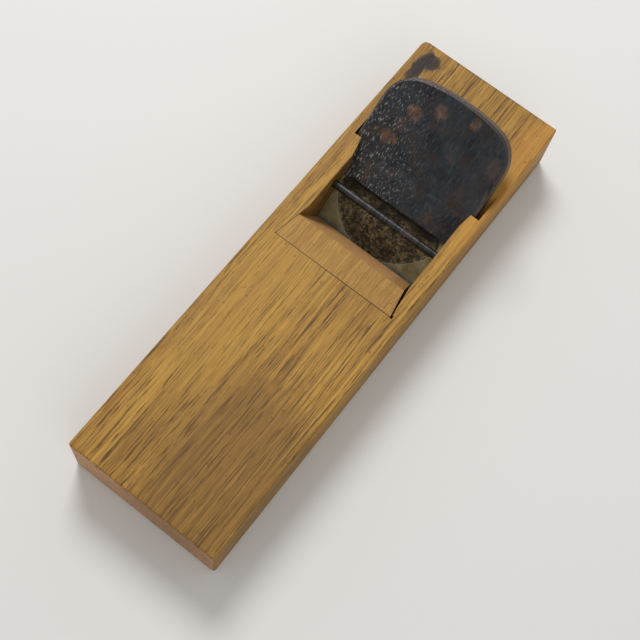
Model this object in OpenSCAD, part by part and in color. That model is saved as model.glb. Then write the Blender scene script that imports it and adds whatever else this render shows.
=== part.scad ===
// Japanese hand plane: an oak body block with a wedge-shaped blade, a let-in mouth block and a cross rod.
// The sole lies in Z = 0 with the origin under the middle of the block. +Y runs to the head, +X to the
// right hand of someone who looks along +Y, and +Z is up.

/* [Body block] */
// Width of the block, across the grain
body_w = 80; // [79:0.5:84]
// Length of the block, along the grain
body_l = 265; // [255:1:280]
// Height of the block, from the sole to the top
body_h = 33; // [32:0.5:36]
// Worn rounding of the four upright corners, in plan
corner_r = 1.6; // [1:0.1:2.5]
// Knocked-off corner at the left of the head, in plan
corner_clip = 3.4; // [2:0.1:5]
// Rounding of the edges round the top
top_edge_r = 1.0; // [0.6:0.1:1.6]
// Flat planed along the edges of the sole
sole_edge = 1.2; // [0.6:0.1:2]

/* [Blade mortise] */
// Distance from the tail of the block to the line where the cutting edge leaves the sole
mouth_from_tail = 158.5; // [154:0.5:164]
// Rise of the cutting face for a run of ten
face_rise = 8; // [7.8:0.1:8.2]
// Angle between the cutting face and the bed, which makes the blade a wedge
wedge_angle = 1.2; // [1:0.1:1.5]
// Distance from the cutting face to the bed, measured square to the face where both meet the top
slot_top_t = 9.7; // [9.2:0.1:10.2]
// Distance from the middle of the block to the left wall of the throat
throat_left = 28.9; // [28.8:0.1:29.4]
// Distance from the middle of the block to the right wall of the throat
throat_right = 32.1; // [31:0.1:32.5]
// Depth of the left side groove, into the cheek
groove_left = 6.6; // [6.2:0.1:7]
// Depth of the right side groove, into the cheek
groove_right = 5.7; // [5.3:0.1:6]
// Height of the floor of both side grooves above the sole
groove_floor = 1.2; // [0.8:0.1:1.3]
// Room in the groove over the face of the blade, and half the room under its back
slot_play = 0.06; // [0.05:0.01:0.08]
// Depth that is pared off the tip of the left cheek
left_tip_cut = 2.6; // [1.5:0.1:3.2]
// Length of the pared stretch of the left cheek
left_tip_l = 11; // [8:0.5:14]
// Depth that is pared off the tip of the right cheek
right_tip_cut = 1.2; // [0.8:0.1:2]
// Length of the pared stretch of the right cheek
right_tip_l = 8; // [6:0.5:12]

/* [Mouth block] */
// Distance that the back of the mouth block lies behind the cutting line
insert_back = 24.4; // [23:0.1:27]
// Distance that the top of the throat's front slope lies behind the cutting line
slope_top_back = 10; // [9:0.1:11]
// Height of the lip where the front slope ends
lip_h = 7; // [6:0.5:8]
// Distance that the lip reaches past the cutting line, over the blade
lip_reach = 5.7; // [5:0.1:5.8]
// Gap in front of the cutting edge, along the sole
mouth_gap = 0.85; // [0.7:0.05:1.2]
// Half-angle of the dovetail, in plan
dovetail_angle = 10.2; // [9:0.1:11]
// Distance that the back of the mouth block reaches into the left cheek
ear_left = 3.7; // [3:0.1:4.2]
// Distance that the back of the mouth block reaches into the right cheek
ear_right = 1.5; // [1.2:0.1:2]
// Width of the tight joint at the back and the left of the mouth block
joint_gap = 0.05; // [0.03:0.01:0.1]
// Width of the loose joint at the right back corner
pocket_play = 0.6; // [0.4:0.1:0.8]
// Angle of the pocket's right wall, in plan: the loose joint widens towards the blade
pocket_angle = 6.8; // [6:0.1:8]
// Width of the hole chopped out at the right back corner
chop_w = 1.1; // [0.8:0.1:1.6]
// Length of the hole chopped out at the right back corner
chop_l = 1.9; // [1.4:0.1:2.4]

/* [Blade] */
// Width of the blade where it fills the side grooves
blade_w = 71.4; // [71:0.1:71.6]
// Width of the blade where the shoulders start
shoulder_w = 69; // [67:0.5:70]
// Length of the blade along its face, from the sole to the top of the head
blade_reach = 94.5; // [92:0.5:98]
// Rounding of the two shoulders of the head
shoulder_r = 17; // [14:0.5:20]
// Radius of the arched top of the head
head_arch_r = 97; // [85:1:140]
// Height of the cutting edge above the sole as the blade is stored
edge_lift = 0.8; // [0.7:0.1:1]
// Grinding angle of the bevel
bevel_angle = 28; // [26:0.5:28.5]
// Width of the cutting edge, between the two clipped corners
edge_w = 57.5; // [56.5:0.1:57.6]
// Length of the narrow end of the blade, which passes through the mouth
waist_l = 7.6; // [7.6:0.1:8.4]
// Widening on each side over the length of the narrow end
waist_flare = 0.5; // [0.3:0.1:0.5]
// Length of the narrow end with its two clipped corners
corner_l = 13.5; // [12.5:0.5:16]
// Chamfer round the face of the head
head_chamfer = 1.3; // [0.8:0.1:1.6]
// Chamfer along the back of the head
back_chamfer = 1.8; // [1:0.1:2.4]
// Width of the flat filed along the right edge of the face
filed_w = 2.4; // [1.8:0.1:3]
// Slope of the filed flat, down from the face
filed_slope = 24; // [18:1:30]
// Height along the face at which the filed flat ends
filed_top = 67; // [62:1:70]
// Thickness of the hard steel layer on the face
steel_t = 2.2; // [1.8:0.1:2.6]
// Length of the hard steel layer, up from the sole
steel_l = 50; // [44:1:60]

/* [Hollow of the face] */
// Distance of the hollow's upper edge above the sole, along the face
hollow_top = 34.5; // [33:0.5:36]
// Distance along the face at which the lower, curved half begins
hollow_mid = 29; // [27:0.5:29]
// Width of the hollow
hollow_w = 58.6; // [56:0.2:60]
// Length of the curved lower half
hollow_drop = 23.5; // [20:0.5:25]
// Exponent that draws in the curved half: 1 makes it half an ellipse
hollow_point = 1.25; // [1:0.05:1.4]
// Depth of the hollow
hollow_depth = 1.0; // [0.6:0.1:1.2]
// Rounding of the hollow's two upper corners
hollow_r = 4; // [3:0.5:4.5]

/* [Cross rod] */
// Diameter of the rod
rod_d = 4; // [3.6:0.1:4.4]
// Room round the rod in its hole
rod_fit = 0.02; // [0.01:0.01:0.05]
// Distance of the rod's middle below the top of the block
rod_drop = 8.1; // [7:0.1:9]
// Distance of the rod's middle from the cutting face, square to it
rod_off = 8.7; // [8:0.1:9.4]
// Depth of the rod in the right cheek
rod_seat = 5.4; // [4.5:0.1:6]
// Distance that the rod's left end lies below the side of the block
rod_sink = 0.4; // [0.2:0.1:1]

/* [Hidden] */
// Small overlap that makes a cut run past a face
past = 1;
// Length that runs past everything
far = 200;
// Thickness of the thin slices that a chamfered or dished form is stretched between
slice = 0.1;
round_fn = 48;

// Where the two planes of the blade slot meet the sole and the top
mouth_y = mouth_from_tail - body_l / 2;
face_angle = atan(face_rise / 10);
bed_angle = face_angle - wedge_angle;
face_top_y = mouth_y + body_h / tan(face_angle);
bed_top_y = face_top_y + slot_top_t / sin(face_angle);
bed_foot_y = bed_top_y - body_h / tan(bed_angle);

// Mouth block
insert_y = mouth_y - insert_back;
slope_y = mouth_y - slope_top_back;
lip_y = mouth_y + lip_reach;
sole_lip_y = mouth_y - mouth_gap;
insert_left = throat_left + ear_left;
insert_right = throat_right + ear_right;
insert_reach = lip_y - insert_y + past;

// The blade stands near the left side of its slot, and the rest of the room is on the right
slot_left = throat_left + groove_left;
slot_right = throat_right + groove_right;
side_play = 0.3;
blade_x = blade_w / 2 - slot_left + side_play;
edge_s = edge_lift / sin(face_angle);
// Angle by which the blade's sides draw in towards the head, and how much of the head's chamfer they get
side_taper = atan((blade_w - shoulder_w) / 2 / (blade_reach - shoulder_r - corner_l));
side_chamfer = 0.4;
// Depth below the face that holds the whole thickness of the blade
blade_depth = 14;

// The hollow is three rings inside each other: share of the outline, and share of the depth
hollow_rings = [[1, 0], [0.93, 0.65], [0.72, 1]];
hollow_steps = 16;

// The knocked-off corner is two flats that meet at this share of its size
clip_split = 0.35;

rod_z = body_h - rod_drop;
rod_y = mouth_y + rod_z / tan(face_angle) - rod_off / sin(face_angle);

// Points of an arc round (x, y) from angle a0 to a1
function arc(x, y, r, a0, a1, n = 6) =
    [for (i = [0:n]) let (a = a0 + (a1 - a0) * i / n) [x + r * cos(a), y + r * sin(a)]];

// A prism whose outline is drawn in (Y, Z) and that runs from x0 to x1
module across(x0, x1) {
    translate([x0, 0, 0]) rotate([90, 0, 90]) linear_extrude(x1 - x0) children();
}

// A prism whose outline is drawn in (X, Z) and that runs from y0 to y1
module lengthwise(y0, y1) {
    translate([0, y1, 0]) rotate([90, 0, 0]) linear_extrude(y1 - y0) children();
}

// The blade's own frame: x across, y up along the cutting face, z out of the face
module on_face() {
    translate([0, mouth_y, 0]) rotate([face_angle, 0, 0]) children();
}

// Plan of the block, with its worn corners and the knocked-off one
module block_plan() {
    w = body_w / 2;
    l = body_l / 2;
    r = corner_r;
    c = corner_clip;
    polygon(concat(
        arc(w - r, -l + r, r, -90, 0),
        arc(w - r, l - r, r, 0, 90),
        [[-w + c, l], [-w + clip_split * c, l - clip_split * c], [-w, l - c]],
        arc(-w + r, -l + r, r, 180, 270)));
}

// Section of the block with rounded top edges and planed sole edges, for half the width or length w
module block_section(w) {
    r = top_edge_r;
    polygon(concat(
        [[-w, sole_edge], [-w + sole_edge, 0], [w - sole_edge, 0], [w, sole_edge]],
        arc(w - r, body_h - r, r, 0, 90, 4),
        arc(-w + r, body_h - r, r, 90, 180, 4)));
}

module block_blank() {
    intersection() {
        linear_extrude(body_h) block_plan();
        lengthwise(-body_l, body_l) block_section(body_w / 2);
        across(-body_w, body_w) block_section(body_l / 2);
    }
}

// Everything in front of the bed between the two walls of the throat
module throat_cut() {
    run = past / tan(bed_angle);
    across(-throat_left, throat_right) polygon([
        [insert_y, -past],
        [bed_foot_y - run, -past],
        [bed_top_y + run, body_h + past],
        [insert_y, body_h + past]]);
}

// The slot that holds the blade: two planes a wedge apart. Its side grooves end above the sole, so that
// the mouth is only as wide as the throat.
module slot_cut() {
    floor_z = groove_floor;
    top_z = body_h + past;
    across(-slot_left, slot_right) polygon([
        [mouth_y + floor_z / tan(face_angle), floor_z],
        [bed_foot_y + floor_z / tan(bed_angle), floor_z],
        [bed_foot_y + top_z / tan(bed_angle), top_z],
        [mouth_y + top_z / tan(face_angle), top_z]]);
}

// The tips of the two cheeks are pared back where the blade leaves the block
module tip_cuts() {
    end_y = face_top_y + past;
    left = -throat_left;
    right = throat_right;
    intersection() {
        linear_extrude(body_h + past) {
            polygon([
                [left + past, face_top_y - left_tip_l], [left, face_top_y - left_tip_l],
                [left - left_tip_cut, end_y], [left + past, end_y]]);
            polygon([
                [right - past, face_top_y - right_tip_l], [right, face_top_y - right_tip_l],
                [right + right_tip_cut, end_y], [right - past, end_y]]);
        }
        on_face() translate([-far / 2, -far / 2, -past]) cube(far);
    }
}

// The pocket of the mouth block: tight at the back and the left, loose at the right, with a chopped corner
module pocket_cut() {
    t = tan(dovetail_angle);
    right = insert_right + pocket_play;
    translate([0, 0, -past]) linear_extrude(body_h + 2 * past) {
        polygon([
            [right, insert_y],
            [right - tan(pocket_angle) * insert_reach, insert_y + insert_reach],
            [-throat_left, insert_y + insert_reach],
            [-throat_left, insert_y + ear_left / t],
            [-insert_left, insert_y]]);
        translate([right - chop_w / 2, insert_y - chop_l / 4]) square([chop_w, chop_l]);
    }
}

module rod_hole() {
    translate([-far / 2, rod_y, rod_z]) rotate([0, 90, 0])
        cylinder(h = far / 2 + throat_right + rod_seat, d = rod_d + 2 * rod_fit, $fn = round_fn);
}

module body_block() {
    color("#b08a3c") difference() {
        block_blank();
        throat_cut();
        slot_cut();
        tip_cuts();
        pocket_cut();
        rod_hole();
    }
}

// Plan of the mouth block: a dovetail that narrows to the blade
module insert_plan() {
    t = tan(dovetail_angle);
    polygon([
        [insert_right, insert_y + joint_gap],
        [insert_right - t * insert_reach, insert_y + insert_reach],
        [-throat_left + joint_gap, insert_y + insert_reach],
        [-throat_left + joint_gap, insert_y + ear_left / t],
        [-insert_left + joint_gap + t * joint_gap, insert_y + joint_gap]]);
}

// The let-in block before the mouth. Its sloped front makes the throat, and its lip turns the shaving up.
module mouth_insert() {
    color("#c8a050") intersection() {
        linear_extrude(body_h) insert_plan();
        across(-far, far) polygon([
            [insert_y, 0], [sole_lip_y, 0], [lip_y, lip_h],
            [slope_y, body_h], [insert_y, body_h]]);
    }
}

module retaining_rod() {
    left = -body_w / 2 + rod_sink;
    right = throat_right + rod_seat - rod_fit;
    color("#4b4d50") translate([left, rod_y, rod_z]) rotate([0, 90, 0])
        cylinder(h = right - left, d = rod_d, $fn = round_fn);
}

// Outline of the blade in its face plane, drawn in by the amount inset round the head
function blade_outline(inset) =
    let (r = shoulder_r - inset,
         w = blade_w / 2 - inset * side_chamfer,
         waist = edge_w / 2 + waist_flare,
         cx = shoulder_w / 2 - shoulder_r,
         tilt = asin(cx / (head_arch_r - shoulder_r)),
         arch_y = blade_reach - head_arch_r,
         cy = arch_y + (head_arch_r - shoulder_r) * cos(tilt))
    concat(
        [[edge_w / 2, edge_s], [waist, edge_s + waist_l], [w, edge_s + corner_l]],
        arc(cx, cy, r, 0, 90 - tilt, 9),
        arc(0, arch_y, head_arch_r - inset, 90 - tilt, 90 + tilt, 8),
        arc(-cx, cy, r, 90 + tilt, 180, 9),
        [[-w, edge_s + corner_l], [-waist, edge_s + waist_l], [-edge_w / 2, edge_s]]);

// Depth of the back of the blade below the cutting face, at the distance s above the sole
function back_z(s) =
    let (foot = bed_foot_y - mouth_y)
    2 * slot_play - foot * sin(face_angle) - (s - foot * cos(face_angle)) * tan(wedge_angle);

// Side view of the blade: flat face, wedge back and bevel, drawn in (s, z) of the face
module blade_profile() {
    // The bevel meets the back where both lines have the same depth
    k = tan(bevel_angle);
    bevel_s = (edge_s * k - slot_play - back_z(0)) / (k - tan(wedge_angle));
    polygon([
        [edge_s, -slot_play],
        [bevel_s, back_z(bevel_s)],
        [blade_reach - back_chamfer, back_z(blade_reach - back_chamfer)],
        [blade_reach, back_z(blade_reach) + back_chamfer],
        [blade_reach, -slot_play]]);
}

// The whole blade before it is parted into its two metals
module blade_blank() {
    translate([blade_x, 0, 0]) difference() {
        on_face() intersection() {
            rotate([90, 0, 90]) translate([0, 0, -blade_w]) linear_extrude(2 * blade_w) blade_profile();
            union() {
                translate([0, 0, -blade_depth]) linear_extrude(blade_depth) foot_outline();
                hull() {
                    translate([0, 0, -blade_depth]) linear_extrude(blade_depth - head_chamfer) head_outline(0);
                    translate([0, 0, -slice]) linear_extrude(slice) head_outline(head_chamfer);
                }
            }
        }
        filed_flat();
    }
}

// The outline above the clipped corners, which is a convex form
module head_outline(inset) {
    intersection() {
        polygon(blade_outline(inset));
        translate([-far / 2, edge_s + corner_l]) square(far);
    }
}

// The outline below that: the narrow end and the clipped corners
module foot_outline() {
    intersection() {
        polygon(blade_outline(0));
        translate([-far / 2, edge_s + corner_l - far]) square(far);
    }
}

// The flat filed along the right edge of the face, where the blade leaves its groove
module filed_flat() {
    low = edge_s + corner_l;
    len = filed_top - low;
    on_face() translate([blade_w / 2 - filed_w, low, 0]) rotate([0, filed_slope, side_taper])
        rotate([90, 0, 90]) linear_extrude(3 * filed_w) polygon([
            [-far, 0], [len, 0], [len + past, 2 * past], [len + past, far], [-far, far]]);
}

module steel_slab() {
    on_face() translate([-blade_w, -past, -steel_t]) cube([2 * blade_w, steel_l + past, 2 * steel_t]);
}

// Outline of the hollow, shrunk evenly towards its middle by the share k
function hollow_outline(k) =
    let (w = hollow_w / 2 * k,
         r = hollow_r * k,
         top = hollow_mid + (hollow_top - hollow_mid) * k)
    concat(
        arc(w - r, top - r, r, 0, 90, 5),
        arc(-w + r, top - r, r, 90, 180, 5),
        [for (i = [1:hollow_steps - 1]) let (a = 180 * i / hollow_steps)
            [-sign(cos(a)) * w * pow(abs(cos(a)), hollow_point),
             hollow_mid - hollow_drop * k * pow(sin(a), hollow_point)]]);

// The ground hollow of the face, stretched over its three rings
module hollow_cut() {
    on_face() translate([blade_x, 0, 0]) hull() {
        linear_extrude(past) polygon(hollow_outline(1));
        for (ring = hollow_rings)
            translate([0, 0, -ring[1] * hollow_depth]) linear_extrude(slice) polygon(hollow_outline(ring[0]));
    }
}

module blade_iron() {
    color("#3a4045") difference() {
        blade_blank();
        steel_slab();
    }
}

module blade_steel() {
    color("#4d5450") difference() {
        intersection() {
            blade_blank();
            steel_slab();
        }
        hollow_cut();
    }
}

body_block();
mouth_insert();
retaining_rod();
blade_iron();
blade_steel();
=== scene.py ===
# %% [markdown]
# A Japanese hand plane: an oak block with a wedge mortise, a mouth block let into it, a steel cross rod,
# and a blade forged from two metals. The shapes come from the packed model, which is loaded first, so
# the rest of this file gives them their surfaces, their light and a camera. Everything is in metres,
# with the sole in Z = 0, the head towards +Y and the right side towards +X.

# %% Load the packed model
import math

import bpy
from mathutils import Matrix, Vector

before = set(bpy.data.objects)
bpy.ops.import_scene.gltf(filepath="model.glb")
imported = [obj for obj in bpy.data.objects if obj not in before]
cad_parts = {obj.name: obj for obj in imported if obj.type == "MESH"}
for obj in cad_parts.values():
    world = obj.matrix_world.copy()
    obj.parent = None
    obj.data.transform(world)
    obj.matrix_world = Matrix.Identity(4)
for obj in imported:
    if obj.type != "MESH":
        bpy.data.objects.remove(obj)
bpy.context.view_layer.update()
print("nodes:", sorted(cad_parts))

# %% [markdown]
# A shader is a graph of small nodes. It could be wired node by node, but a finish has dozens of them.
# This helper class keeps the calls short instead: most of its methods add a node or a few to the tree
# and hand back the last one's output socket, so that a finish reads like a formula.

# %% A short way to write shader nodes
class Nodes:
    def __init__(self, tree):
        self.tree = tree

    def add(self, kind, **settings):
        node = self.tree.nodes.new(kind)
        for key, value in settings.items():
            setattr(node, key, value)
        return node

    def put(self, socket, value):
        """Link a socket to another node's output, or set it to a plain value."""
        if isinstance(value, bpy.types.NodeSocket):
            self.tree.links.new(value, socket)
        else:
            socket.default_value = value

    def math(self, operation, a, b=0.0):
        node = self.add("ShaderNodeMath", operation=operation)
        self.put(node.inputs[0], a)
        self.put(node.inputs[1], b)
        return node.outputs[0]

    def plus(self, a, b):
        return self.math("ADD", a, b)

    def minus(self, a, b):
        return self.math("SUBTRACT", a, b)

    def times(self, a, b):
        return self.math("MULTIPLY", a, b)

    def absolute(self, value):
        return self.math("ABSOLUTE", value)

    def larger(self, a, b):
        return self.math("MAXIMUM", a, b)

    def vector(self, operation, a, b):
        node = self.add("ShaderNodeVectorMath", operation=operation)
        self.put(node.inputs[0], a)
        self.put(node.inputs[1], b)
        return node

    def dot(self, vector, direction):
        return self.vector("DOT_PRODUCT", vector, direction).outputs["Value"]

    def mapping(self, vector, scale):
        node = self.add("ShaderNodeMapping")
        self.put(node.inputs["Vector"], vector)
        node.inputs["Scale"].default_value = scale
        return node.outputs[0]

    def noise(self, vector, scale, detail, rough=0.55, distort=0.0):
        node = self.add("ShaderNodeTexNoise")
        self.put(node.inputs["Vector"], vector)
        self.put(node.inputs["Scale"], scale)
        node.inputs["Detail"].default_value = detail
        node.inputs["Roughness"].default_value = rough
        node.inputs["Distortion"].default_value = distort
        return node.outputs["Fac"]

    def stretched(self, vector, waves, detail, rough=0.55):
        """Noise with its own number of waves per metre across, along and up."""
        return self.noise(self.mapping(vector, waves), 1.0, detail, rough)

    def ramp(self, value, low, high, to_low=0.0, to_high=1.0, kind="SMOOTHSTEP"):
        """Turn low to high into to_low to to_high, and hold the end values outside them."""
        node = self.add("ShaderNodeMapRange", interpolation_type=kind)
        self.put(node.inputs["Value"], value)
        self.put(node.inputs["From Min"], low)
        self.put(node.inputs["From Max"], high)
        node.inputs["To Min"].default_value = to_low
        node.inputs["To Max"].default_value = to_high
        return node.outputs["Result"]

    def strip(self, value, middle, half, soft):
        """A mask of 1 within half of the middle, which fades to 0 over the soft width outside it."""
        return self.ramp(self.absolute(self.minus(value, middle)), half + soft, half)

    def mix(self, mask, a, b):
        node = self.add("ShaderNodeMix", data_type="RGBA")
        self.put(node.inputs[0], mask)
        self.put(node.inputs[6], a)
        self.put(node.inputs[7], b)
        return node.outputs[2]

    def paint(self, base, tint, mask, strength):
        """Lay a tint over a base colour where the mask is, at some strength."""
        return self.mix(self.times(mask, strength), base, tint)

    def bump(self, height, strength, distance):
        node = self.add("ShaderNodeBump")
        node.inputs["Strength"].default_value = strength
        node.inputs["Distance"].default_value = distance
        self.put(node.inputs["Height"], height)
        return node.outputs[0]


print("helper methods:", len([name for name in vars(Nodes) if not name.startswith("_")]))


# %% [markdown]
# Blender counts colours in linear light, while an eye or a paint card gives them as they look on a
# screen. Colours are easier to judge and to change in screen values, so they are written that way here
# and turned by the standard curve.

# %% Colours as they look on a screen
def colour(red, green, blue):
    """A colour from screen values of 0 to 255, as Blender's linear values."""
    def linear(value):
        value /= 255
        return value / 12.92 if value <= 0.04045 else ((value + 0.055) / 1.055) ** 2.4
    return (linear(red), linear(green), linear(blue), 1.0)


print("middle grey:", [round(value, 3) for value in colour(128, 128, 128)])


# %% [markdown]
# Oak grain, grime and rust each turn up on more than one piece. Each could be copied into every
# material, but one shared group is made once and looks the same everywhere. A group has named sockets:
# a place and a few settings go in, and masks, heights or colours come out.

# %% Shared groups and new materials
def new_group(name, inputs, outputs):
    """A shader group, with inputs as (name, kind, default) and outputs as (name, kind)."""
    group = bpy.data.node_groups.new(name, "ShaderNodeTree")
    kinds = {"value": "NodeSocketFloat", "vector": "NodeSocketVector", "colour": "NodeSocketColor"}
    for label, kind, default in inputs:
        socket = group.interface.new_socket(label, in_out="INPUT", socket_type=kinds[kind])
        if default is not None:
            socket.default_value = default
    for label, kind in outputs:
        group.interface.new_socket(label, in_out="OUTPUT", socket_type=kinds[kind])
    given = group.nodes.new("NodeGroupInput").outputs
    result = group.nodes.new("NodeGroupOutput").inputs
    return group, Nodes(group), given, result


def use_group(n, group, **values):
    node = n.add("ShaderNodeGroup", node_tree=group)
    for label, value in values.items():
        n.put(node.inputs[label], value)
    return node.outputs


def new_material(name):
    """A material, with the place on the piece as Object coordinates, which ride with its body."""
    material = bpy.data.materials.new(name)
    material.use_nodes = True
    n = Nodes(material.node_tree)
    shader = material.node_tree.nodes["Principled BSDF"]
    place = n.add("ShaderNodeTexCoord").outputs["Object"]
    return material, n, shader, place


print("ready for groups and materials")

# %% [markdown]
# Oak is known by its pores: dark dashes about a centimetre long that run with the grain, over slow
# bands of lighter and darker wood. On an end face the same pores are dots. A flat picture of wood would
# be stretched on the sides, so the pattern is noise in the block itself: it has many waves per metre
# across and few along, and each face cuts through it as a saw cuts through a board.

# %% The grain of oak, shared by both wooden pieces
BEND_WAVES = (18, 5, 18)
BEND_REACH = 0.006
BAND_WAVES = (150, 4, 120)
PORE_WAVES = (1500, 66, 1500)
PORE_ZONE_WAVES = (230, 7, 200)
STREAK_WAVES = (820, 14, 820)
FIBRE_WAVES = (2600, 45, 2600)

oak_group, n, given, result = new_group(
    "oak grain",
    [("Place", "vector", None), ("Fineness", "value", 1.0), ("Wave", "value", 1.0)],
    [("Bands", "value"), ("Pores", "value"), ("Streaks", "value"), ("Fibre", "value")])
bend = n.minus(n.stretched(given["Place"], BEND_WAVES, 2.0), 0.5)
shift = n.add("ShaderNodeCombineXYZ")
n.put(shift.inputs["X"], n.times(bend, n.times(given["Wave"], BEND_REACH)))
scaled = n.add("ShaderNodeVectorMath", operation="SCALE")
n.put(scaled.inputs[0], n.vector("ADD", given["Place"], shift.outputs[0]).outputs[0])
n.put(scaled.inputs["Scale"], given["Fineness"])
along = scaled.outputs[0]

pore_zone = n.stretched(along, PORE_ZONE_WAVES, 2.0, 0.5)
threshold = n.ramp(pore_zone, 0.32, 0.68, 0.585, 0.515)
pores = n.stretched(along, PORE_WAVES, 2.0)
n.put(result["Pores"], n.ramp(pores, threshold, n.plus(threshold, 0.10)))
n.put(result["Streaks"], n.ramp(n.stretched(along, STREAK_WAVES, 3.0, 0.6), 0.40, 0.60))
n.put(result["Bands"], n.ramp(n.stretched(along, BAND_WAVES, 3.0, 0.6), 0.28, 0.72))
n.put(result["Fibre"], n.stretched(along, FIBRE_WAVES, 3.0, 0.6))
print("made", oak_group.name, "with", len(oak_group.nodes), "nodes")

# %% [markdown]
# Wood that was handled for years has dirt rubbed into it, in soft clouds and in small dark specks. Both
# are noise with all but its peaks cut off. The more grime is asked for, the lower the cut for the
# clouds, so that they grow and join.

# %% Grime for the wood
GRIME_CUT = 0.85
SPECK_FINENESS = 14.0

grime_group, n, given, result = new_group(
    "grime",
    [("Place", "vector", None), ("Size", "value", 0.02), ("Amount", "value", 0.5)],
    [("Clouds", "value"), ("Specks", "value")])
scale = n.math("DIVIDE", 1.0, given["Size"])
clouds = n.noise(given["Place"], scale, 6.0, 0.62, 0.3)
cut = n.minus(GRIME_CUT, n.times(given["Amount"], 0.6))
n.put(result["Clouds"], n.ramp(clouds, cut, n.plus(cut, 0.22)))
dots = n.noise(given["Place"], n.times(scale, SPECK_FINENESS), 2.0, 0.5)
n.put(result["Specks"], n.ramp(dots, 0.70, 0.76))
print("made", grime_group.name, "with", len(grime_group.nodes), "nodes")

# %% [markdown]
# Rust is never one colour. It runs from dark umber through brown to a dull yellow, in blotches with
# ragged edges and a pitted skin. One noise says where it is, a finer one picks between the three
# colours, and a still finer one is the height of the pits.

# %% Rust for the blade and the rod
RUST_CUT = 0.86
RUST_UMBER = colour(52, 34, 22)
RUST_BROWN = colour(98, 62, 34)
RUST_YELLOW = colour(146, 100, 52)

rust_group, n, given, result = new_group(
    "rust",
    [("Place", "vector", None), ("Size", "value", 0.006), ("Amount", "value", 0.5)],
    [("Mask", "value"), ("Colour", "colour"), ("Pitting", "value")])
scale = n.math("DIVIDE", 1.0, given["Size"])
blotches = n.noise(given["Place"], scale, 8.0, 0.68, 0.6)
cut = n.minus(RUST_CUT, n.times(given["Amount"], 0.62))
n.put(result["Mask"], n.ramp(blotches, cut, n.plus(cut, 0.14)))
tone = n.noise(given["Place"], n.times(scale, 2.7), 6.0, 0.7)
dark = n.mix(n.ramp(tone, 0.36, 0.52), RUST_UMBER, RUST_BROWN)
n.put(result["Colour"], n.mix(n.ramp(tone, 0.52, 0.68), dark, RUST_YELLOW))
n.put(result["Pitting"], n.noise(given["Place"], n.times(scale, 6.0), 5.0, 0.75))
print("made", rust_group.name, "with", len(rust_group.nodes), "nodes")


# %% [markdown]
# Some marks are where they are by accident: a black stain beside the blade, or a rust spot on its head.
# Each is a mask round one chosen point. A plain ball would look sprayed on, so noise is added to the
# distance from the point before the edge is cut, which makes the edge ragged.

# %% Spots at chosen places
def spot(n, place, middle, size, ragged, fineness=190.0):
    """A mask of 1 round the middle, which fades out towards its size, with a ragged edge."""
    offset = n.vector("SUBTRACT", place, middle).outputs[0]
    scaled = n.mapping(offset, tuple(1 / s for s in size))
    length = n.add("ShaderNodeVectorMath", operation="LENGTH")
    n.put(length.inputs[0], scaled)
    raggedness = n.noise(n.mapping(place, (1.6, 0.8, 1.0)), fineness, 6.0, 0.7)
    wobble = n.times(n.minus(raggedness, 0.5), 4 * ragged)
    return n.ramp(n.plus(length.outputs["Value"], wobble), 0.55, 1.1, 1.0, 0.0)


print("ready for spots")

# %% [markdown]
# The mouth block is let into the oak with hardly any gap, yet the joint shows as a dark line, because
# dirt has filled it. So the line is painted, not modelled. It follows the joint's own sizes: straight
# along the back, and slanted by the dovetail along the left flank. On the right the joint is loose, and
# its gap is real and dark by itself.

# %% Dark lines in the mouth block's joints
ACROSS = (1, 0, 0)
ALONG = (0, 1, 0)
BACK_JOINT_X = 0.0005
JOINT_LINE = 0.00012
BACK_JOINT_Y = 0.0016
BACK_JOINT_HALF = 0.0332
FLANK_SLOPE = 0.18
FLANK_X = -0.0326
FLANK_MIDDLE_Y = 0.0088
FLANK_HALF = 0.0072


def mouth_joints(n, place):
    x = n.dot(place, ACROSS)
    y = n.dot(place, ALONG)
    back_line = n.strip(y, BACK_JOINT_Y, JOINT_LINE, 0.0002)
    back = n.times(back_line, n.strip(x, BACK_JOINT_X, BACK_JOINT_HALF, 0.0004))
    straightened = n.minus(x, n.times(n.minus(y, BACK_JOINT_Y), FLANK_SLOPE))
    flank_line = n.strip(straightened, FLANK_X, JOINT_LINE, 0.00022)
    flank = n.times(flank_line, n.strip(y, FLANK_MIDDLE_Y, FLANK_HALF, 0.0002))
    return n.larger(back, flank)


print("the back joint is", round(2000 * BACK_JOINT_HALF, 1), "mm long")

# %% [markdown]
# Bare oak is built up in thin coats, as a painter would: slow bands and broad shades first, then dark
# streaks, then painted highlights, pale glints along the fine fibres. A face that points along the grain
# shows the cut ends of the fibres, which are pinker and duller. The pores come last, because they are
# holes and stay dark.

# %% Bare oak
FIBRE_GLINT = colour(206, 164, 82)
END_GRAIN = colour(196, 148, 112)
SHADE_WAVES = (38, 9, 38)


def bare_oak(n, place, normal, grain, light, dark, pore, porous):
    wood = n.mix(grain["Bands"], dark, light)
    shade = n.ramp(n.stretched(place, SHADE_WAVES, 3.0, 0.6), 0.3, 0.7, 0.0, 0.30)
    wood = n.mix(shade, wood, n.mix(0.4, dark, pore))
    wood = n.paint(wood, n.mix(0.50, dark, pore), grain["Streaks"], 0.70)
    # Painted highlights: pale glints laid along the fine fibres.
    wood = n.mix(n.ramp(grain["Fibre"], 0.48, 0.66, 0.0, 0.45), wood, FIBRE_GLINT)
    end_face = n.ramp(n.absolute(n.dot(normal, ALONG)), 0.75, 0.95)
    wood = n.paint(wood, END_GRAIN, end_face, 0.75)
    return n.paint(wood, pore, grain["Pores"], porous)


print("ready for bare oak")
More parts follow.
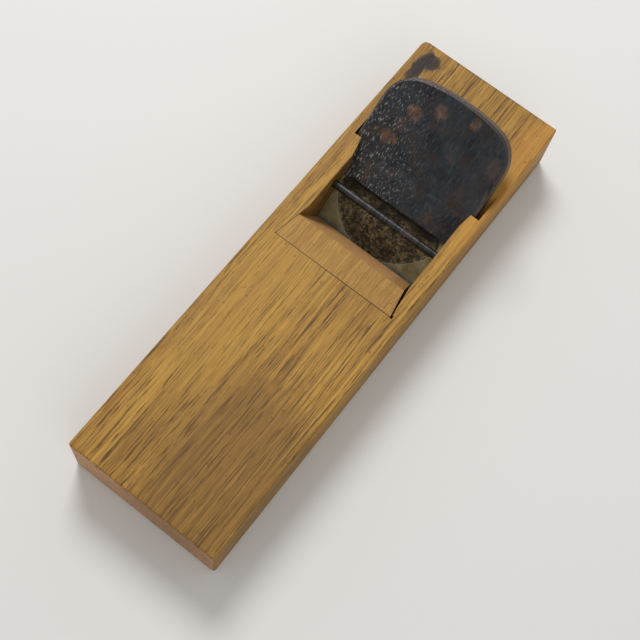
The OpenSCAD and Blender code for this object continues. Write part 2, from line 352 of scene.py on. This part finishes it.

# %% [markdown]
# Decades of oil, sweat and light lie over the bare wood. The throat's cheek walls are darkened with
# painted shade, dirt fills the joints, and marks, painted shade and grime cover the rest. The order is
# the real one, from the wood outwards. The pores are sunk with a little bump, and the oil leaves a weak,
# uneven gloss.

# %% The finish of the oak
THROAT_SHADE = colour(74, 46, 20)
THROAT_REACH = 0.0370
JOINT_BLACK = colour(34, 22, 12)
GRIME_BROWN = colour(84, 56, 28)
SPECK_BROWN = colour(60, 40, 24)


def oak_finish(name, light, dark, pore, marks_and_shade, fineness=1.0, wave=1.0, porous=0.8):
    material, n, shader, place = new_material(name)
    normal = n.add("ShaderNodeNewGeometry").outputs["Normal"]
    grain = use_group(n, oak_group, Place=place, Fineness=fineness, Wave=wave)
    wood = bare_oak(n, place, normal, grain, light, dark, pore, porous)
    # Painted shade: faces that point sideways within the throat, its cheek walls, are darkened.
    sideways = n.ramp(n.absolute(n.dot(normal, ACROSS)), 0.6, 0.9)
    inside = n.strip(n.dot(place, ACROSS), 0.0, THROAT_REACH, 0.0015)
    wood = n.paint(wood, THROAT_SHADE, n.times(sideways, inside), 0.72)
    wood = n.paint(wood, JOINT_BLACK, mouth_joints(n, place), 0.9)
    # Marks at chosen places, and on the mouth block a patch of painted shade.
    for middle, size, tint, strength, ragged in marks_and_shade:
        wood = n.paint(wood, tint, spot(n, place, middle, size, ragged), strength)
    dirt = use_group(n, grime_group, Place=place, Size=0.03, Amount=0.42)
    wood = n.paint(wood, GRIME_BROWN, dirt["Clouds"], 0.30)
    wood = n.paint(wood, SPECK_BROWN, dirt["Specks"], 0.55)
    n.put(shader.inputs["Base Color"], wood)
    n.put(shader.inputs["Roughness"], n.ramp(grain["Fibre"], 0.3, 0.7, 0.50, 0.68))
    shader.inputs["Specular IOR Level"].default_value = 0.35
    height = n.minus(n.times(grain["Fibre"], 0.25), grain["Pores"])
    n.put(shader.inputs["Normal"], n.bump(height, 0.35, 0.0002))
    return material


print("ready for both oaks")

# %% [markdown]
# The block and the mouth block are the same kind of wood from two boards: the mouth block's grain is
# finer, straighter and less porous. The marks are placed one by one. The block's top is dark at the
# tail's right and pale on the left, its right edge is bright near the head, the black stain lies beside
# the blade's head, and a dark line runs along the top of the head's end. The mouth block has one patch
# of painted shade, low at the right end of its slope.

# %% Both oaks
TOP = 0.033

# Each mark is its middle, its size, its colour, its strength and how ragged it is.
block_marks = [
    ((0.016, -0.100, TOP), (0.040, 0.060, 0.05), colour(104, 72, 30), 0.50, 0.3),
    ((0.036, 0.100, TOP), (0.010, 0.055, 0.03), colour(196, 138, 56), 0.45, 0.3),
    ((-0.0330, 0.1170, TOP), (0.0042, 0.0125, 0.02), colour(26, 20, 16), 0.97, 0.55),
    ((-0.0290, 0.1235, TOP), (0.0055, 0.0055, 0.02), colour(30, 22, 18), 0.95, 0.6),
    ((0.000, 0.1335, TOP), (0.060, 0.0022, 0.02), colour(70, 46, 24), 0.65, 0.3),
    ((-0.020, -0.020, TOP), (0.022, 0.090, 0.03), colour(190, 146, 60), 0.30, 0.4),
]
# A patch of painted shade, low at the right end of the mouth block's slope.
mouth_shade = [
    ((0.030, 0.028, 0.018), (0.010, 0.030, 0.03), colour(120, 84, 42), 0.4, 0.3),
]
oak_block = oak_finish(
    "oiled oak", colour(184, 138, 52), colour(150, 106, 34), colour(66, 42, 14), block_marks)
oak_mouth = oak_finish(
    "fine oak", colour(186, 142, 66), colour(156, 112, 46), colour(108, 74, 30), mouth_shade,
    fineness=2.4, wave=0.4, porous=0.35)
print("made", oak_block.name, "and", oak_mouth.name)

# %% [markdown]
# The blade lies at a slope, so marks on it are hard to place in the block's own X, Y and Z. They are
# placed in the blade's frame instead: x runs across it, s runs up along the face from the sole, and z
# stands out of the face. Each of the three is one dot product with the Object coordinates.

# %% Places on the blade
FACE_ANGLE = math.atan(0.8)
MOUTH_Y = 0.026
BLADE_X = 0.0005
UP_THE_FACE = (0, math.cos(FACE_ANGLE), math.sin(FACE_ANGLE))
OUT_OF_THE_FACE = (0, -math.sin(FACE_ANGLE), math.cos(FACE_ANGLE))


def blade_place(n, place):
    """The place on the blade as one vector, and then its x, s and z."""
    offset = n.vector("SUBTRACT", place, (BLADE_X, MOUTH_Y, 0)).outputs[0]
    x, s, z = [n.dot(offset, axis) for axis in (ACROSS, UP_THE_FACE, OUT_OF_THE_FACE)]
    joined = n.add("ShaderNodeCombineXYZ")
    for socket, value in zip(joined.inputs, (x, s, z)):
        n.put(socket, value)
    return joined.outputs[0], x, s, z


print("the face slopes at", round(math.degrees(FACE_ANGLE), 2), "degrees")

# %% [markdown]
# Forged iron keeps the black scale of the fire. Hammer and file leave long grey streaks in it, and
# painted highlights lie over it as bright glints, most of them at the lower left. Thin brown rust lies
# on it in patches, with round spots on the head and a rusty right edge. The steel's upper part was
# forged with the iron and has the same skin, so the skin is a function that both metals use.

# %% The forged black of both metals
SCALE_BLACK = colour(26, 31, 37)
SCALE_GREY = colour(50, 56, 62)
HAMMERED_GREY = colour(84, 86, 84)
GLINT_HIGHLIGHT = colour(176, 176, 168)
THIN_RUST = colour(66, 48, 36)
HAMMER_WAVES = (750, 170, 750)
SCALE_WAVES = (95, 80, 95)
GLINT_WAVES = (1300, 420, 1300)
THIN_RUST_WAVES = (60, 60, 60)

# Each rust spot is its middle and size in the blade's frame, and its strength.
rust_spots = [
    ((-0.0211, 0.0605, 0.0), (0.0050, 0.0042, 0.004), 1.0),
    ((-0.0166, 0.0770, 0.0), (0.0048, 0.0044, 0.004), 1.0),
    ((-0.0190, 0.0690, 0.0), (0.0036, 0.0050, 0.004), 0.5),
    ((-0.0055, 0.0845, 0.0), (0.0042, 0.0036, 0.004), 0.9),
    ((0.0105, 0.0885, 0.0), (0.0030, 0.0032, 0.004), 0.7),
    ((0.0290, 0.0760, 0.0), (0.0036, 0.0060, 0.004), 0.5),
]


def forged_skin(n, flat, x, s):
    """The colour of the forged black with its painted glints, and then its streaks, the mask of its rust
    and the pits in it.
    """
    streaks = n.stretched(flat, HAMMER_WAVES, 5.0, 0.7)
    scale = n.stretched(flat, SCALE_WAVES, 7.0, 0.68)
    skin = n.mix(n.ramp(scale, 0.34, 0.66), SCALE_BLACK, SCALE_GREY)
    skin = n.mix(n.ramp(streaks, 0.50, 0.72, 0.0, 0.55), skin, HAMMERED_GREY)
    # Painted highlights: bright glints, most of them at the lower left.
    glint = n.ramp(n.stretched(flat, GLINT_WAVES, 3.0, 0.6), 0.555, 0.66)
    lower_left = n.ramp(n.plus(x, n.times(s, 0.35)), 0.030, -0.012)
    skin = n.mix(n.times(glint, n.times(lower_left, 0.8)), skin, GLINT_HIGHLIGHT)
    thin_rust = n.stretched(flat, THIN_RUST_WAVES, 8.0, 0.72)
    skin = n.mix(n.ramp(thin_rust, 0.45, 0.65, 0.0, 0.6), skin, THIN_RUST)
    rust = use_group(n, rust_group, Place=flat, Size=0.012, Amount=0.50)
    mask = rust["Mask"]
    for middle, size, strength in rust_spots:
        mask = n.larger(mask, n.times(spot(n, flat, middle, size, 0.4, 420.0), strength))
    right_edge = n.times(n.ramp(x, 0.028, 0.036), n.ramp(streaks, 0.42, 0.6, 0.0, 0.6))
    mask = n.larger(mask, right_edge)
    return n.paint(skin, rust["Colour"], mask, 0.55), streaks, mask, rust["Pitting"]


print("placed", len(rust_spots), "rust spots")

# %% [markdown]
# The iron is the thick back and head of the blade. The chamfer round its head is worn by the hammer that
# sets the blade, so every surface that turns away from the face gets a worn brownish grey. Streaks are
# smoother than the scale, and rust is rougher and hardly metallic.

# %% The forged iron
WORN_RIM = colour(92, 76, 66)

forged_iron, n, shader, place = new_material("forged black iron")
flat, x, s, _ = blade_place(n, place)
skin, streaks, rusted, pitting = forged_skin(n, flat, x, s)
normal = n.add("ShaderNodeNewGeometry").outputs["Normal"]
turned_away = n.ramp(n.dot(normal, OUT_OF_THE_FACE), 0.97, 0.80)
n.put(shader.inputs["Base Color"], n.paint(skin, WORN_RIM, turned_away, 0.34))
bare_roughness = n.ramp(streaks, 0.4, 0.7, 0.46, 0.28)
n.put(shader.inputs["Roughness"], n.plus(bare_roughness, n.times(rusted, 0.3)))
n.put(shader.inputs["Metallic"], n.ramp(rusted, 0.0, 1.0, 0.55, 0.05))
n.put(shader.inputs["Normal"], n.bump(n.plus(streaks, n.times(pitting, 0.4)), 0.5, 0.0006))
print("made", forged_iron.name, "with", len(n.tree.nodes), "nodes")

# %% [markdown]
# The steel's face is ground hollow, so that only the flats beside and below the hollow touch the
# sharpening stone. The hollow is never rubbed: it is mottled with rust and black stains. Its upper end,
# where the hollow steps up to the face, is darkest, with painted shade.

# %% The rusty hollow
HOLLOW_DARK = colour(66, 56, 34)
HOLLOW_LIGHT = colour(128, 114, 78)
STAIN_BLACK = colour(24, 22, 18)
HOLLOW_TOP_SHADE = colour(24, 20, 18)

ground_steel, n, shader, place = new_material("ground steel")
flat, x, s, z = blade_place(n, place)
cloud = n.stretched(flat, (130, 110, 130), 6.0, 0.65)
rust = use_group(n, rust_group, Place=flat, Size=0.004, Amount=0.62)
hollow = n.mix(n.ramp(cloud, 0.35, 0.65), HOLLOW_DARK, HOLLOW_LIGHT)
hollow = n.paint(hollow, rust["Colour"], rust["Mask"], 0.45)
mottle = n.ramp(n.noise(flat, 620.0, 5.0, 0.72), 0.43, 0.55)
hollow = n.paint(hollow, STAIN_BLACK, mottle, 0.9)
# Painted shade on the steep step at the upper end of the hollow.
hollow = n.paint(hollow, HOLLOW_TOP_SHADE, n.ramp(s, 0.0285, 0.0335), 0.85)
print("painted the hollow")

# %% [markdown]
# The flats stay olive grey, with dark specks and a thin bluish strip along the edge. Above them the
# steel has the forged black. A painted outline could miss the real hollow, so the hollow is found by its
# depth: it is wherever the surface lies below the plane of the face.

# %% The ground steel
FLAT_DARK = colour(124, 116, 82)
FLAT_LIGHT = colour(164, 156, 120)
FLAT_SPECK = colour(70, 62, 46)
EDGE_BLUE = colour(104, 116, 124)

flats = n.mix(n.ramp(cloud, 0.3, 0.7), FLAT_DARK, FLAT_LIGHT)
speck = n.noise(flat, 900.0, 4.0, 0.7)
flats = n.paint(flats, FLAT_SPECK, n.ramp(speck, 0.6, 0.7), 0.5)
flats = n.paint(flats, EDGE_BLUE, n.ramp(s, 0.0105, 0.0085), 0.8)
skin = forged_skin(n, flat, x, s)[0]
upper = n.ramp(n.plus(s, n.times(cloud, 0.006)), 0.0345, 0.0372)
face = n.mix(upper, flats, skin)
below = n.ramp(z, -0.0002, -0.00006, 1.0, 0.0, kind="LINEAR")
n.put(shader.inputs["Base Color"], n.mix(below, face, hollow))
n.put(shader.inputs["Roughness"], n.ramp(cloud, 0.3, 0.7, 0.38, 0.6))
n.put(shader.inputs["Metallic"], n.ramp(rust["Mask"], 0.0, 1.0, 0.5, 0.1))
pits = n.plus(n.times(speck, 0.6), n.times(rust["Pitting"], 0.5))
n.put(shader.inputs["Normal"], n.bump(pits, 0.45, 0.0005))
print("made", ground_steel.name, "with", len(n.tree.nodes), "nodes")

# %% [markdown]
# The rod is drawn wire: dark and dull, with faint rings round it and a little rust. The rings are noise
# with many waves along the rod and few across it.

# %% The rod
WIRE_DARK = colour(40, 41, 43)
WIRE_LIGHT = colour(70, 70, 70)

rod_steel, n, shader, place = new_material("dull steel rod")
rings = n.stretched(place, (900, 60, 60), 3.0, 0.6)
rust = use_group(n, rust_group, Place=place, Size=0.005, Amount=0.52)
wire = n.mix(n.ramp(rings, 0.3, 0.7), WIRE_DARK, WIRE_LIGHT)
n.put(shader.inputs["Base Color"], n.paint(wire, rust["Colour"], rust["Mask"], 0.30))
n.put(shader.inputs["Roughness"], n.ramp(rust["Mask"], 0.0, 1.0, 0.34, 0.7))
n.put(shader.inputs["Metallic"], n.ramp(rust["Mask"], 0.0, 1.0, 0.75, 0.2))
n.put(shader.inputs["Normal"], n.bump(n.plus(rings, rust["Pitting"]), 0.3, 0.0003))
print("made", rod_steel.name, "with", len(n.tree.nodes), "nodes")

# %% [markdown]
# The solids already have the true shapes, down to the chamfers, the dovetail and the hollow. Nothing on
# this plane repeats or follows a path, and nothing on it is soft, so each solid keeps its own mesh and
# only gets its finish.

# %% Give each solid its finish
finishes = {
    "body_block": oak_block,
    "mouth_insert": oak_mouth,
    "retaining_rod": rod_steel,
    "blade_iron": forged_iron,
    "blade_steel": ground_steel,
}
for name, finish in finishes.items():
    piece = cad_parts[name]
    piece.data.materials.clear()
    piece.data.materials.append(finish)
    print(name, "has", finish.name)

# %% [markdown] The plane stands on a plain pale floor, so that nothing competes with it. The floor
# lies a hair below the sole, because two surfaces in one plane would flicker.

# %% Floor
REACH = 3
FLOOR_Z = -0.0002
FLOOR_COLOUR = (0.72, 0.71, 0.69, 1)

corners = [(x * REACH, y * REACH, FLOOR_Z) for x, y in ((-1, -1), (1, -1), (1, 1), (-1, 1))]
mesh = bpy.data.meshes.new("floor")
mesh.from_pydata(corners, [], [(0, 1, 2, 3)])
floor = bpy.data.objects.new("floor", mesh)
bpy.context.scene.collection.objects.link(floor)
pale, _, shader, _ = new_material("pale floor")
shader.inputs["Base Color"].default_value = FLOOR_COLOUR
shader.inputs["Roughness"].default_value = 0.9
mesh.materials.append(pale)
print("the floor is", 2 * REACH, "m wide")


# %% [markdown]
# A large lamp stands high on the head's left, as a window would, and a weaker, wider one stands
# opposite. Both are discs, because a large round lamp gives soft shadows, and both aim at the middle of
# the sole. A pale world fills the shadows. Together they are just bright enough for the colours to come
# out as written, and the view transform is the one that leaves them alone.

# %% Lamps and world
WORLD_COLOUR = (1.0, 0.99, 0.97, 1)
WORLD_STRENGTH = 0.5


def lamp(name, place, size, power):
    data = bpy.data.lights.new(name, "AREA")
    data.shape = "DISK"
    data.size = size
    data.energy = power
    thing = bpy.data.objects.new(name, data)
    thing.location = place
    thing.rotation_euler = (-Vector(place)).to_track_quat("-Z", "Y").to_euler()
    bpy.context.scene.collection.objects.link(thing)
    print("lamp", name, "of", power, "W")


lamp("key", (-0.60, 0.60, 1.1), size=0.6, power=12.0)
lamp("fill", (0.8, -0.6, 0.9), size=1.0, power=2.5)
world = bpy.data.worlds.new("studio")
bpy.context.scene.world = world
world.use_nodes = True
background = world.node_tree.nodes["Background"]
background.inputs["Color"].default_value = WORLD_COLOUR
background.inputs["Strength"].default_value = WORLD_STRENGTH
bpy.context.scene.view_settings.view_transform = "Standard"

# %% [markdown]
# The camera stands where the photographer's did: nearly straight above, a little towards the tail and
# the right. Its place, turn and focal length were found by fitting the block's edges and the mortise's
# corners to the photograph, and the turn is written as the directions of the picture's right side, its
# lower side and the view.

# %% Camera
PHOTO_PIXELS = 640
FOCAL_PIXELS = 1189.6
SENSOR_MM = 36.0
CAMERA_PLACE = (0.09311, -0.19312, 0.53338)
PICTURE_RIGHT = Vector((0.79286, 0.604453, 0.077527))
PICTURE_DOWN = Vector((0.589239, -0.72794, -0.350573))
AHEAD = Vector((-0.15547, 0.323637, -0.933321))

camera_data = bpy.data.cameras.new("camera")
camera_data.sensor_width = SENSOR_MM
camera_data.lens = FOCAL_PIXELS / PHOTO_PIXELS * SENSOR_MM
camera_data.clip_start = 0.01
camera = bpy.data.objects.new("camera", camera_data)
turn = Matrix((PICTURE_RIGHT, -PICTURE_DOWN, -AHEAD)).transposed().to_4x4()
camera.matrix_world = Matrix.Translation(CAMERA_PLACE) @ turn
bpy.context.scene.collection.objects.link(camera)
bpy.context.scene.camera = camera
print("the lens is", round(camera_data.lens, 1), "mm long")

# %% [markdown]
